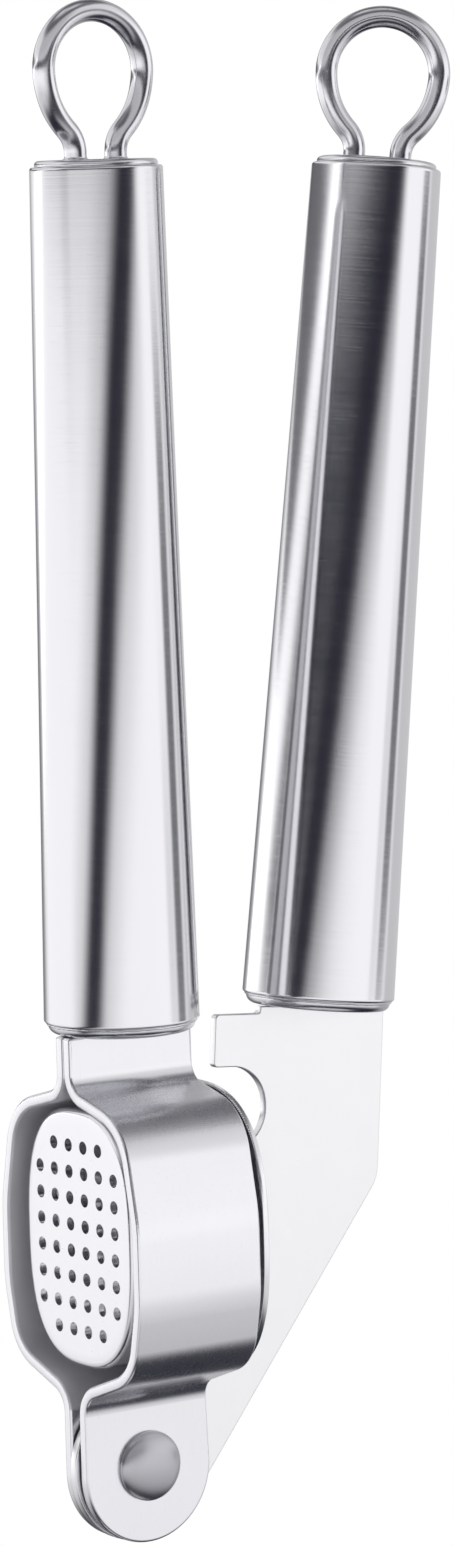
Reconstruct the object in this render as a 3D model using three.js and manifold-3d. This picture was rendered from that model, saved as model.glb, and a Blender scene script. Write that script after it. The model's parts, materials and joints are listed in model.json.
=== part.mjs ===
// Garlic press with two round handles, a strap chamber and a lift-out sieve cup.
// Millimetres. +Z runs up the chamber handle, +X points from the sieve to the lever, +Y runs along the hinge rivet.
// The press hangs by the wire loop of its chamber handle: the inner top of that loop is the origin.
import * as THREE from 'three';
import { mergeVertices } from 'three/addons/utils/BufferGeometryUtils.js';
import Module from 'manifold-3d';

const wasm = await Module();
wasm.setup();

// ---- driving dimensions; all places below are measured from the hinge axis ----
const STRIP_WIDTH = 18.5;             // width of the two chamber straps
const STRIP_THICKNESS = 1.5;
const STRAP_SLIT = 0.1;               // between the two straps in the neck
const EAR_GAP = 1.9;                  // between the inner faces of the two hinge ears
const EAR_DROP = 0.5;                 // the round ear end is centred this far below the hinge
const NECK_FRONT = -9.4;
const NECK_BACK = 8.9;                // also the chamber's back edge
const EAR_TAPER_TOP = 9;              // the ear narrows to the chamber up to here
const NECK_FROM = 47.2;               // heights between which the front edge steps out to the neck
const NECK_TO = 50;
const CHAMBER_HALF_WIDTH = 15.5;
const SIDE_FLAT = [22.5, 32.5];       // heights between which the chamber side is flat
const FIT_GAP = 0.05;                 // welded or pressed neighbours

const HANDLE_LENGTH = 105.6;
const HANDLE_RADII = [9.7, 8.92, 8.2];  // bottom, middle, top
const HANDLE_WALL = 1.0;
const HANDLE_X = -0.45;               // chamber handle axis
const HANDLE_Z = 56.1;                // lower rim of the chamber handle's tube
const TANG_WIDTH = 13;
const TANG_LENGTH = 12;
const CAP_STEP = 1.3;                 // how far the lower cap stands out of the tube
const CAP_PLUG = 2.0;                 // how far a cap reaches into the tube
const CAP_LIP = 0.8;                  // how far the upper cap stands out
const CAP_PLUG_ROOM = 0.2;            // round the plug, inside the tube
const LOWER_CAP_INSET = 0.5;          // the caps are smaller than the tube's ends by this
const LOWER_CAP_ROUND = 1.1;
const UPPER_CAP_INSET = 0.6;
const UPPER_CAP_ROUND = 0.6;
const TANG_ROOM = 0.3;                // round a tang, in the lower cap's slot
const TANG_SHOULDER_GAP = 0.1;        // between the lever plate and its handle's cap
const LEVER_LOOP_TURN = THREE.MathUtils.degToRad(-30);

const WIRE_RADIUS = 1.4;
const LOOP_RADIUS = 7.25;             // centre line of the round part
const LOOP_RISE = 10.95;              // its centre above the upper cap
const LOOP_FOOT = 2.95;               // half the spacing of the two feet
const LOOP_FOOT_BEND = 4;
const LOOP_FOOT_RISE = 0.8;           // straight stretch above the cap

const HOLE_PITCH = 3.31;
const HOLE_RADIUS = 0.83;
const HOLE_ROWS = 8;
const HOLE_COLUMNS = 6;
const SIEVE_Z = 29.4;                 // middle of the hole grid
const SIEVE_FACE = -7.9;
const SHEET = 0.8;                    // sheet thickness of the sieve cup
const FLOOR_HALF = [11.8, 16.2];      // half width and half height of the cup's floor
const FLOOR_EDGE = 0.8;
const MOUTH_HALF = [13.5, 16.6];
const MOUTH_Z = 29.1;
const FLANGE_HALF = [15.2, 18.4];     // its lower rim hides behind the straps
const FLANGE_X = NECK_BACK + 0.75;    // the flange stands off the straps' back edges
const SQUARENESS = 2.7;               // exponent of the rounded outlines; 2 would be an ellipse

const SHANK_RADIUS = 2.5;
const HEAD_RADIUS = 4.4;
const HEAD_RIM = 0.35;
const HEAD_CROWN = 1.25;
const WASHER_RADIUS = 4.2;
const RUNNING_GAP = 0.06;

const PLATE_THICKNESS = 1.2;
const REST_OPEN = THREE.MathUtils.degToRad(4.3);    // how far the lever stands open at rest
const LEVER_LEAN = THREE.MathUtils.degToRad(2.5);   // lever handle against its plate
const LEVER_X = 25.3;                 // lower rim of the lever's tube, lever closed
const LEVER_Z = 58.0;
const TAB_X = 9.2;                    // the tab that stops on the neck
const TAB_BOTTOM = 49.45;
const TAB_TOP = 56.1;
const TAB_END = 16;                   // where the tab's top edge meets the edge under the cap
const NOTCH = { x: 12, z: 44.15, radius: 5.3 };     // round notch that clears the top of the chamber
const PLATE_FRONT = FLANGE_X + SHEET + 1.05;        // front edge below the nose, behind the cup's flange
const NOSE_ROOT = 26.5;
const FOOT_Z = 10.0;                  // the foot passes under the flange
const PLATE_BACK = 35.3;
const BACK_EDGE_ANGLE = THREE.MathUtils.degToRad(55.7);
const HINGE_END_RADIUS = 9.8;
const PIN_X = 0.4;                    // plunger pin, lever closed
const PIN_Z = 33;
const PIN_RADIUS = 1.5;
const NOSE_RADIUS = 2.8;

const PLUNGER_FACE = -5.9;
const PLUNGER_THICKNESS = 2;
const PLUNGER_Z = 31.2;
const PLUNGER_HALF = [10.2, 12.7];    // half width, half height
const LUG_THICKNESS = 1;
const LUG_GAP = 0.4;                  // between a lug and the lever's nose
const LUG_REACH = 5.5;                // half height of the bracket's base
const PIN_PROUD = 0.4;                // how far the pin stands out of the lugs
const PIN_FIT = 0.02;
const CHAMFER = 0.4;
const PLUNGER_RATIO = -0.6;           // the plunger turns back on the nose by this share of the lever's turn

// ---- materials ----
const satinSteel = new THREE.MeshStandardMaterial({ color: 0xc9c9cf, roughness: 0.32, metalness: 1 });
const brushedTube = new THREE.MeshStandardMaterial({ color: 0xb9b9c0, roughness: 0.28, metalness: 1 });
const polishedWire = new THREE.MeshStandardMaterial({ color: 0xd2d2d8, roughness: 0.12, metalness: 1 });
const mattPlate = new THREE.MeshStandardMaterial({ color: 0xe6e6ec, roughness: 0.5, metalness: 0.9 });

// ---- solids ----
function toSolid(geometry) {
  const bare = geometry.clone();
  bare.deleteAttribute('normal');
  bare.deleteAttribute('uv');
  const merged = mergeVertices(bare);
  return new wasm.Manifold(new wasm.Mesh({
    numProp: 3,
    vertProperties: new Float32Array(merged.attributes.position.array),
    triVerts: new Uint32Array(merged.index.array),
  }));
}

function toGeometry(solid) {
  const mesh = solid.getMesh();
  const geometry = new THREE.BufferGeometry();
  geometry.setAttribute('position', new THREE.BufferAttribute(new Float32Array(mesh.vertProperties), 3));
  geometry.setIndex(new THREE.BufferAttribute(new Uint32Array(mesh.triVerts), 1));
  geometry.computeVertexNormals();
  return geometry;
}

function named(name, geometry, material) {
  const mesh = new THREE.Mesh(geometry, material);
  mesh.name = name;
  return mesh;
}

// A flat outline drawn in X and Z, given its thickness along Y between two faces.
function plateXZ(shape, yLow, yHigh, curveSegments = 20) {
  const geometry = new THREE.ExtrudeGeometry(shape, { depth: yHigh - yLow, bevelEnabled: false, curveSegments });
  geometry.rotateX(Math.PI / 2);
  geometry.translate(0, yHigh, 0);
  return geometry;
}

function cylinderAlongY(radius, x, z, halfLength, segments) {
  const geometry = new THREE.CylinderGeometry(radius, radius, 2 * halfLength, segments);
  geometry.translate(x, 0, z);
  return geometry;
}

// A hole's corners stand outside its radius, so that its flats clear a round shaft.
function holeRadius(radius, gap, segments) {
  return (radius + gap) / Math.cos(Math.PI / segments);
}

function boxBetween([x0, y0, z0], [x1, y1, z1]) {
  const geometry = new THREE.BoxGeometry(x1 - x0, y1 - y0, z1 - z0);
  geometry.translate((x0 + x1) / 2, (y0 + y1) / 2, (z0 + z1) / 2);
  return geometry;
}

// Points and left-hand normals along a line of corners [u, v, radius], each corner rounded by an arc.
function roundedLine(corners, stepDegrees = 12) {
  const samples = [];
  corners.forEach(([u, v, radius], i) => {
    const corner = new THREE.Vector2(u, v);
    const before = corners[i - 1];
    const after = corners[i + 1];
    const into = before ? new THREE.Vector2(u - before[0], v - before[1]).normalize() : null;
    const out = after ? new THREE.Vector2(after[0] - u, after[1] - v).normalize() : null;
    if (!into || !out) {
      const along = into || out;
      samples.push({ point: corner, normal: new THREE.Vector2(-along.y, along.x) });
      return;
    }
    const turn = Math.atan2(into.cross(out), into.dot(out));
    const side = Math.sign(turn);
    const start = corner.clone().addScaledVector(into, -radius * Math.tan(Math.abs(turn) / 2));
    const startNormal = new THREE.Vector2(-into.y, into.x);
    const centre = start.clone().addScaledVector(startNormal, side * radius);
    const steps = Math.max(2, Math.ceil(THREE.MathUtils.radToDeg(Math.abs(turn)) / stepDegrees));
    for (let k = 0; k <= steps; k += 1) {
      const normal = startNormal.clone().rotateAround(new THREE.Vector2(), (turn * k) / steps);
      samples.push({ point: centre.clone().addScaledVector(normal, -side * radius), normal });
    }
  });
  return samples;
}

// ---- chamber straps ----
// One strap's outer line across the press (Y, Z), from the top of the tang down to the end of the ear.
const neckOuter = STRAP_SLIT / 2 + STRIP_THICKNESS;
const earOuter = EAR_GAP / 2 + STRIP_THICKNESS;
const strapLine = [
  [neckOuter, HANDLE_Z - CAP_STEP + TANG_LENGTH, 0],
  [neckOuter, 48.27, 2.5],
  [12.87, 45.32, 8],
  [CHAMBER_HALF_WIDTH, SIDE_FLAT[1], 18],
  [CHAMBER_HALF_WIDTH, SIDE_FLAT[0], 18],
  [13.58, 13.37, 7],
  [earOuter, 9.36, 3],
  [earOuter, -STRIP_WIDTH / 2 - EAR_DROP - 1, 0],
];

function strapBlank(side) {
  const samples = roundedLine(strapLine);
  const outer = samples.map(({ point }) => new THREE.Vector2(side * point.x, point.y));
  const inner = samples.map(({ point, normal }) => {
    const moved = point.clone().addScaledVector(normal, -STRIP_THICKNESS);
    return new THREE.Vector2(side * moved.x, moved.y);
  });
  const shape = new THREE.Shape([...outer, ...inner.reverse()]);
  const depth = 2 * STRIP_WIDTH;
  const geometry = new THREE.ExtrudeGeometry(shape, { depth, bevelEnabled: false });
  // drawn as (Y, Z) and extruded along X
  geometry.applyMatrix4(new THREE.Matrix4().set(0, 0, 1, -depth / 2, 1, 0, 0, 0, 0, 1, 0, 0, 0, 0, 0, 1));
  return toSolid(geometry);
}

// The strip seen from its broad side: round ear, full width at the chamber, neck and narrower tang.
function strapOutline() {
  const half = STRIP_WIDTH / 2;
  const shoulder = HANDLE_Z - CAP_STEP - FIT_GAP;
  const shape = new THREE.Shape();
  shape.moveTo(-half, -EAR_DROP);
  shape.absarc(0, -EAR_DROP, half, Math.PI, 2 * Math.PI, false);
  shape.lineTo(NECK_BACK, EAR_TAPER_TOP);
  shape.lineTo(NECK_BACK, shoulder);
  shape.lineTo(HANDLE_X + TANG_WIDTH / 2, shoulder);
  shape.lineTo(HANDLE_X + TANG_WIDTH / 2, HANDLE_Z - CAP_STEP + TANG_LENGTH);
  shape.lineTo(HANDLE_X - TANG_WIDTH / 2, HANDLE_Z - CAP_STEP + TANG_LENGTH);
  shape.lineTo(HANDLE_X - TANG_WIDTH / 2, shoulder);
  shape.lineTo(NECK_FRONT, shoulder);
  shape.lineTo(NECK_FRONT, NECK_TO);
  shape.lineTo(-half, NECK_FROM);
  shape.closePath();
  return shape;
}

function strap(side) {
  const face = toSolid(plateXZ(strapOutline(), -20, 20));
  const bore = toSolid(cylinderAlongY(holeRadius(SHANK_RADIUS, FIT_GAP, 32), 0, 0, 20, 32));
  return toGeometry(strapBlank(side).intersect(face).subtract(bore));
}

// ---- sieve cup ----
// A sheet body of rounded outlines. Each station is [x, half width, half height, middle height].
function roundedBody(stations, segments) {
  const profile = stations.map(([x, halfWidth]) => new THREE.Vector2(halfWidth, x));
  const geometry = new THREE.LatheGeometry(profile, segments);
  const position = geometry.attributes.position;
  const power = 2 / SQUARENESS;
  const squared = (value) => Math.sign(value) * Math.abs(value) ** power;
  for (let k = 0; k < position.count; k += 1) {
    const [x, halfWidth, halfHeight, middle] = stations[k % stations.length];
    const angle = (2 * Math.PI * Math.floor(k / stations.length)) / segments;
    const y = halfWidth * squared(Math.cos(angle));
    const z = halfHeight * squared(Math.sin(angle));
    position.setXYZ(k, x, Math.abs(y) < 1e-6 ? 0 : y, middle + (Math.abs(z) < 1e-6 ? 0 : z));
  }
  return geometry;
}

function sieveCup() {
  const bend = [0, 30, 60, 90].map((degrees) => THREE.MathUtils.degToRad(degrees));
  const outerFront = bend.map((angle) => [
    SIEVE_FACE + FLOOR_EDGE * (1 - Math.cos(angle)),
    FLOOR_HALF[0] - FLOOR_EDGE * (1 - Math.sin(angle)),
    FLOOR_HALF[1] - FLOOR_EDGE * (1 - Math.sin(angle)),
    SIEVE_Z,
  ]);
  const inside = (half) => half.map((reach) => reach - SHEET);
  const stations = [
    [SIEVE_FACE, 0, 0, SIEVE_Z],
    ...outerFront,
    [FLANGE_X, ...MOUTH_HALF, MOUTH_Z],
    [FLANGE_X, ...FLANGE_HALF, MOUTH_Z],
    [FLANGE_X + SHEET, ...FLANGE_HALF, MOUTH_Z],
    [FLANGE_X + SHEET, ...inside(MOUTH_HALF), MOUTH_Z],
    [SIEVE_FACE + SHEET, ...inside(FLOOR_HALF), SIEVE_Z],
    [SIEVE_FACE + SHEET, 0, 0, SIEVE_Z],
  ];
  let cup = toSolid(roundedBody(stations, 56));
  const drill = new THREE.CylinderGeometry(HOLE_RADIUS, HOLE_RADIUS, 4, 10);
  drill.rotateZ(Math.PI / 2);
  drill.translate(SIEVE_FACE, 0, 0);
  const hole = toSolid(drill);
  for (let row = 0; row < HOLE_ROWS; row += 1) {
    for (let column = 0; column < HOLE_COLUMNS; column += 1) {
      const corner = (row === 0 || row === HOLE_ROWS - 1) && (column === 0 || column === HOLE_COLUMNS - 1);
      if (corner) continue;
      const y = (column - (HOLE_COLUMNS - 1) / 2) * HOLE_PITCH;
      const z = SIEVE_Z + (row - (HOLE_ROWS - 1) / 2) * HOLE_PITCH;
      cup = cup.subtract(hole.translate([0, y, z]));
    }
  }
  return toGeometry(cup);
}

// ---- hinge ----
function hingeRivet() {
  const base = earOuter + FIT_GAP;
  const head = [];
  for (let degrees = 0; degrees <= 90; degrees += 15) {
    const angle = THREE.MathUtils.degToRad(degrees);
    head.push([HEAD_RADIUS * Math.cos(angle), base + HEAD_RIM + HEAD_CROWN * Math.sin(angle)]);
  }
  head[head.length - 1][0] = 0;
  const upper = [[SHANK_RADIUS, base], [HEAD_RADIUS, base], ...head];
  const lower = upper.map(([radius, y]) => [radius, -y]).reverse();
  const profile = [...lower, ...upper].map(([radius, y]) => new THREE.Vector2(radius, y));
  return new THREE.LatheGeometry(profile, 32);
}

function hingeWasher(side) {
  const inner = holeRadius(SHANK_RADIUS, FIT_GAP, 32);
  const low = PLATE_THICKNESS / 2 + FIT_GAP;
  const high = EAR_GAP / 2 - FIT_GAP;
  const profile = [[inner, low], [WASHER_RADIUS, low], [WASHER_RADIUS, high], [inner, high], [inner, low]];
  const geometry = new THREE.LatheGeometry(profile.map(([r, y]) => new THREE.Vector2(r, y)), 32);
  if (side < 0) geometry.rotateX(Math.PI);
  return geometry;
}

// ---- handles; each is built on its own axis with the tube's lower rim at Z = 0 ----
function turned(profile, segments = 40) {
  const geometry = new THREE.LatheGeometry(profile.map(([r, z]) => new THREE.Vector2(r, z)), segments);
  geometry.rotateX(Math.PI / 2);
  return geometry;
}

function handleRadius(z) {
  const [bottom, middle, top] = HANDLE_RADII;
  const t = z / HANDLE_LENGTH;
  return bottom * (1 - t) * (1 - 2 * t) + middle * 4 * t * (1 - t) + top * t * (2 * t - 1);
}

function handleTube() {
  const stations = [0, 0.25, 0.5, 0.75, 1].map((t) => t * HANDLE_LENGTH);
  const outer = stations.map((z) => [handleRadius(z), z]);
  const inner = stations.map((z) => [handleRadius(z) - HANDLE_WALL, z]).reverse();
  return turned([...outer, ...inner, outer[0]]);
}

function lowerCap(slotThickness) {
  const plug = HANDLE_RADII[0] - HANDLE_WALL - CAP_PLUG_ROOM;
  const rim = HANDLE_RADII[0] - LOWER_CAP_INSET;
  const round = LOWER_CAP_ROUND;
  const profile = [[0, -CAP_STEP]];
  for (let degrees = 0; degrees <= 90; degrees += 30) {
    const angle = THREE.MathUtils.degToRad(degrees);
    profile.push([rim - round + round * Math.sin(angle), -CAP_STEP + round * (1 - Math.cos(angle))]);
  }
  profile.push([rim, -FIT_GAP], [plug, -FIT_GAP], [plug, CAP_PLUG], [0, CAP_PLUG]);
  const slot = boxBetween(
    [-TANG_WIDTH / 2 - TANG_ROOM, -slotThickness / 2, -CAP_STEP - 1],
    [TANG_WIDTH / 2 + TANG_ROOM, slotThickness / 2, CAP_PLUG + 1],
  );
  return toGeometry(toSolid(turned(profile)).subtract(toSolid(slot)));
}

function upperCap(loopTurn) {
  const plug = HANDLE_RADII[2] - HANDLE_WALL - CAP_PLUG_ROOM;
  const rim = HANDLE_RADII[2] - UPPER_CAP_INSET;
  const round = UPPER_CAP_ROUND;
  const top = HANDLE_LENGTH + CAP_LIP;
  const profile = [[0, HANDLE_LENGTH - CAP_PLUG], [plug, HANDLE_LENGTH - CAP_PLUG]];
  profile.push([plug, HANDLE_LENGTH + FIT_GAP], [rim, HANDLE_LENGTH + FIT_GAP]);
  for (let degrees = 0; degrees <= 90; degrees += 30) {
    const angle = THREE.MathUtils.degToRad(degrees);
    profile.push([rim - round + round * Math.cos(angle), top - round + round * Math.sin(angle)]);
  }
  profile.push([0, top]);
  let cap = toSolid(turned(profile));
  for (const side of [-1, 1]) {
    const hole = new THREE.CylinderGeometry(WIRE_RADIUS + 0.2, WIRE_RADIUS + 0.2, 10, 12);
    hole.rotateX(Math.PI / 2);
    hole.translate(side * LOOP_FOOT, 0, top);
    hole.rotateZ(loopTurn);
    cap = cap.subtract(toSolid(hole));
  }
  return toGeometry(cap);
}

// The loop's centre line: foot, outward bend, straight flank, round top, and the same again.
class LoopLine extends THREE.CurvePath {
  constructor(z0) {
    super();
    const bend = LOOP_FOOT_BEND;
    const across = LOOP_FOOT + bend;
    const up = LOOP_RISE - LOOP_FOOT_RISE;
    const flank = Math.atan2(up, across) - Math.acos((LOOP_RADIUS + bend) / Math.hypot(across, up));
    const point = (x, z) => new THREE.Vector3(x, 0, z0 + z);
    const arc = (x, z, radius, from, to) => {
      const steps = Math.ceil(Math.abs(to - from) / THREE.MathUtils.degToRad(15));
      for (let k = 0; k < steps; k += 1) {
        const a = from + ((to - from) * k) / steps;
        const b = from + ((to - from) * (k + 1)) / steps;
        this.add(new THREE.LineCurve3(
          point(x + radius * Math.cos(a), z + radius * Math.sin(a)),
          point(x + radius * Math.cos(b), z + radius * Math.sin(b)),
        ));
      }
    };
    const last = () => this.curves[this.curves.length - 1].v2;
    this.add(new THREE.LineCurve3(point(LOOP_FOOT, -CAP_PLUG - CAP_LIP), point(LOOP_FOOT, LOOP_FOOT_RISE)));
    arc(across, LOOP_FOOT_RISE, bend, Math.PI, Math.PI - flank);
    const right = point(LOOP_RADIUS * Math.cos(flank), LOOP_RISE - LOOP_RADIUS * Math.sin(flank));
    this.add(new THREE.LineCurve3(last(), right));
    arc(0, LOOP_RISE, LOOP_RADIUS, -flank, Math.PI + flank);
    const left = point(-across + bend * Math.cos(flank), LOOP_FOOT_RISE + bend * Math.sin(flank));
    this.add(new THREE.LineCurve3(last(), left));
    arc(-across, LOOP_FOOT_RISE, bend, flank, 0);
    this.add(new THREE.LineCurve3(last(), point(-LOOP_FOOT, -CAP_PLUG - CAP_LIP)));
  }
}

function wireLoop(loopTurn) {
  const section = new THREE.Shape();
  section.absarc(0, 0, WIRE_RADIUS, 0, 2 * Math.PI, false);
  const geometry = new THREE.ExtrudeGeometry(section, {
    steps: 48,
    curveSegments: 10,
    bevelEnabled: false,
    extrudePath: new LoopLine(HANDLE_LENGTH + CAP_LIP),
  });
  geometry.rotateZ(loopTurn);
  return geometry;
}

function handle(prefix, slotThickness, loopTurn) {
  const group = new THREE.Group();
  group.add(named(`${prefix}_handle_tube`, handleTube(), brushedTube));
  group.add(named(`${prefix}_handle_lower_cap`, lowerCap(slotThickness), satinSteel));
  group.add(named(`${prefix}_handle_upper_cap`, upperCap(loopTurn), satinSteel));
  group.add(named(`${prefix}_handle_loop`, wireLoop(loopTurn), polishedWire));
  return group;
}

// ---- lever plate, drawn with the lever closed ----
// Where a line from a point touches a circle; side is +1 or -1 for the two tangents.
function touchAngle([x, z], [cx, cz], radius, side) {
  const distance = Math.hypot(x - cx, z - cz);
  return Math.atan2(z - cz, x - cx) + side * Math.acos(radius / distance);
}

function leverPlate() {
  const shape = new THREE.Shape();
  const arcTo = (cx, cz, radius, from, to, clockwise) => shape.absarc(cx, cz, radius, from, to, clockwise);

  shape.moveTo(TAB_X, TAB_BOTTOM);
  shape.lineTo(NOTCH.x, TAB_BOTTOM);
  arcTo(NOTCH.x, NOTCH.z, NOTCH.radius, Math.PI / 2, -Math.PI / 2, true);
  const noseTop = touchAngle([NOTCH.x, NOTCH.z - NOTCH.radius], [PIN_X, PIN_Z], NOSE_RADIUS, 1);
  const noseUnder = touchAngle([PLATE_FRONT, NOSE_ROOT], [PIN_X, PIN_Z], NOSE_RADIUS, -1);
  arcTo(PIN_X, PIN_Z, NOSE_RADIUS, noseTop, noseUnder, false);
  for (const { point } of roundedLine([
    [PIN_X + NOSE_RADIUS * Math.cos(noseUnder), PIN_Z + NOSE_RADIUS * Math.sin(noseUnder), 0],
    [PLATE_FRONT, NOSE_ROOT, 3],
    [PLATE_FRONT, FOOT_Z, 1.2],
    [0, HINGE_END_RADIUS, 0],
  ]).slice(1, -1)) shape.lineTo(point.x, point.y);
  const footAngle = touchAngle([PLATE_FRONT, FOOT_Z], [0, 0], HINGE_END_RADIUS, 1);
  arcTo(0, 0, HINGE_END_RADIUS, footAngle, 2 * Math.PI + BACK_EDGE_ANGLE - Math.PI / 2, false);

  // the straight back edge leaves the hinge end as a tangent and rounds into the upright edge
  const along = new THREE.Vector2(Math.cos(BACK_EDGE_ANGLE), Math.sin(BACK_EDGE_ANGLE));
  const touch = new THREE.Vector2(along.y, -along.x).multiplyScalar(HINGE_END_RADIUS);
  const cornerZ = touch.y + ((PLATE_BACK - touch.x) * along.y) / along.x;
  const shoulderDrop = CAP_STEP + TANG_SHOULDER_GAP;
  const underCap = (x) => LEVER_Z - (x - LEVER_X) * Math.tan(LEVER_LEAN) - shoulderDrop / Math.cos(LEVER_LEAN);
  for (const { point } of roundedLine([
    [touch.x, touch.y, 0],
    [PLATE_BACK, cornerZ, 5],
    [PLATE_BACK, underCap(PLATE_BACK), 0],
  ]).slice(1, -1)) shape.lineTo(point.x, point.y);
  shape.lineTo(PLATE_BACK, underCap(PLATE_BACK));

  // tang inside the handle, along the handle's own axis
  const axis = new THREE.Vector2(Math.sin(LEVER_LEAN), Math.cos(LEVER_LEAN));
  const inHandle = (across, up) => new THREE.Vector2(LEVER_X, LEVER_Z)
    .addScaledVector(axis, up)
    .addScaledVector(new THREE.Vector2(axis.y, -axis.x), across);
  for (const [across, up] of [
    [TANG_WIDTH / 2, -shoulderDrop],
    [TANG_WIDTH / 2, TANG_LENGTH],
    [-TANG_WIDTH / 2, TANG_LENGTH],
    [-TANG_WIDTH / 2, -shoulderDrop],
  ]) {
    const corner = inHandle(across, up);
    shape.lineTo(corner.x, corner.y);
  }
  shape.lineTo(TAB_END, underCap(TAB_END));
  shape.lineTo(TAB_END, TAB_TOP);
  shape.lineTo(TAB_X, TAB_TOP);
  shape.closePath();

  const blank = toSolid(plateXZ(shape, -PLATE_THICKNESS / 2, PLATE_THICKNESS / 2, 24));
  const bore = toSolid(cylinderAlongY(holeRadius(SHANK_RADIUS, RUNNING_GAP, 32), 0, 0, 4, 32));
  const pinBore = toSolid(cylinderAlongY(holeRadius(PIN_RADIUS, RUNNING_GAP, 24), PIN_X, PIN_Z, 4, 24));
  return toGeometry(blank.subtract(bore).subtract(pinBore));
}

// ---- plunger, drawn with the lever closed ----
function plungerPlate() {
  const [halfWidth, halfHeight] = PLUNGER_HALF;
  const back = PLUNGER_FACE + PLUNGER_THICKNESS;
  return roundedBody([
    [PLUNGER_FACE, 0, 0, PLUNGER_Z],
    [PLUNGER_FACE, halfWidth - CHAMFER, halfHeight - CHAMFER, PLUNGER_Z],
    [PLUNGER_FACE + CHAMFER, halfWidth, halfHeight, PLUNGER_Z],
    [back - CHAMFER, halfWidth, halfHeight, PLUNGER_Z],
    [back, halfWidth - CHAMFER, halfHeight - CHAMFER, PLUNGER_Z],
    [back, 0, 0, PLUNGER_Z],
  ], 48);
}

function plungerBracket() {
  const back = PLUNGER_FACE + PLUNGER_THICKNESS + FIT_GAP;
  const inner = PLATE_THICKNESS / 2 + LUG_GAP;
  const outer = inner + LUG_THICKNESS;
  const lug = new THREE.Shape();
  lug.moveTo(back, PIN_Z - LUG_REACH);
  lug.lineTo(back, PIN_Z + LUG_REACH);
  lug.lineTo(back + LUG_THICKNESS, PIN_Z + LUG_REACH);
  const upper = touchAngle([back + LUG_THICKNESS, PIN_Z + LUG_REACH], [PIN_X, PIN_Z], NOSE_RADIUS, -1);
  const lower = touchAngle([back + LUG_THICKNESS, PIN_Z - LUG_REACH], [PIN_X, PIN_Z], NOSE_RADIUS, 1);
  lug.absarc(PIN_X, PIN_Z, NOSE_RADIUS, upper, lower, true);
  lug.lineTo(back + LUG_THICKNESS, PIN_Z - LUG_REACH);
  lug.closePath();
  const base = toSolid(boxBetween(
    [back, -outer, PIN_Z - LUG_REACH],
    [back + LUG_THICKNESS, outer, PIN_Z + LUG_REACH],
  ));
  const bore = toSolid(cylinderAlongY(holeRadius(PIN_RADIUS, PIN_FIT, 24), PIN_X, PIN_Z, 4, 24));
  const near = toSolid(plateXZ(lug, -outer, -inner));
  const far = toSolid(plateXZ(lug, inner, outer));
  return toGeometry(base.add(near).add(far).subtract(bore));
}

function plungerPin() {
  const half = PLATE_THICKNESS / 2 + LUG_GAP + LUG_THICKNESS + PIN_PROUD;
  return cylinderAlongY(PIN_RADIUS, PIN_X, PIN_Z, half, 24);
}

// ---- assembly ----
const loopTop = HANDLE_LENGTH + CAP_LIP + LOOP_RISE + LOOP_RADIUS - WIRE_RADIUS;
const press = new THREE.Group();
press.position.set(-HANDLE_X, 0, -(HANDLE_Z + loopTop));

press.add(named('near_strap', strap(-1), satinSteel));
press.add(named('far_strap', strap(1), satinSteel));
press.add(named('sieve_cup', sieveCup(), satinSteel));
press.add(named('hinge_rivet', hingeRivet(), polishedWire));
press.add(named('near_hinge_washer', hingeWasher(-1), satinSteel));
press.add(named('far_hinge_washer', hingeWasher(1), satinSteel));

const chamberHandle = handle('chamber', 2 * (STRIP_THICKNESS + TANG_ROOM) + STRAP_SLIT, 0);
chamberHandle.position.set(HANDLE_X, 0, HANDLE_Z);
press.add(chamberHandle);

const lever = new THREE.Group();
lever.rotation.y = REST_OPEN;
press.add(lever);
lever.add(named('lever_plate', leverPlate(), mattPlate));

const leverHandle = handle('lever', PLATE_THICKNESS + 2 * TANG_ROOM, LEVER_LOOP_TURN);
leverHandle.position.set(LEVER_X, 0, LEVER_Z);
leverHandle.rotation.y = LEVER_LEAN;
lever.add(leverHandle);

const plunger = new THREE.Group();
plunger.position.set(PIN_X, 0, PIN_Z);
plunger.rotation.y = PLUNGER_RATIO * REST_OPEN;
lever.add(plunger);
for (const [name, geometry, material] of [
  ['plunger_plate', plungerPlate(), satinSteel],
  ['plunger_bracket', plungerBracket(), satinSteel],
  ['plunger_pin', plungerPin(), polishedWire],
]) {
  geometry.translate(-PIN_X, 0, -PIN_Z);
  plunger.add(named(name, geometry, material));
}

export default press;
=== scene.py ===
"""A stainless garlic press that hangs by one handle loop. Sizes are in millimetres until a piece is placed."""

import json
import math

import bmesh
import bpy
from mathutils import Matrix, Vector
from mathutils.geometry import interpolate_bezier


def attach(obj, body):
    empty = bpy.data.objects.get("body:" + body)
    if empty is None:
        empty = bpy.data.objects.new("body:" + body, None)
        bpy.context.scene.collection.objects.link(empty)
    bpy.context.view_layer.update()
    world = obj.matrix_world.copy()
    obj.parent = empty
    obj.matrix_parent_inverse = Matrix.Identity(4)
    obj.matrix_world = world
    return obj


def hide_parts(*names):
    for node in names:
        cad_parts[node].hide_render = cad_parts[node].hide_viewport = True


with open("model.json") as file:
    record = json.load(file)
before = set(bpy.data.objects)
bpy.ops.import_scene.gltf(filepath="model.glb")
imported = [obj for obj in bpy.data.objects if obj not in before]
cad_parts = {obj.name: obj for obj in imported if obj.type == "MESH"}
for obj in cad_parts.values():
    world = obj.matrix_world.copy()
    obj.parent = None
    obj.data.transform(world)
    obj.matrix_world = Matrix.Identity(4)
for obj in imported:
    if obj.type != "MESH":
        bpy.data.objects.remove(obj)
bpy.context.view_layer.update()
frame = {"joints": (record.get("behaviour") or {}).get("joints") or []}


# ---- Chamber straps ----
# Two mirror-image strips of 1.5 mm stainless sheet, blanked, tumbled and bent to tang, neck, wall and ear.
# Brushed along the strip; the tangs are welded inside the handle and the rivet goes through the ears.

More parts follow.
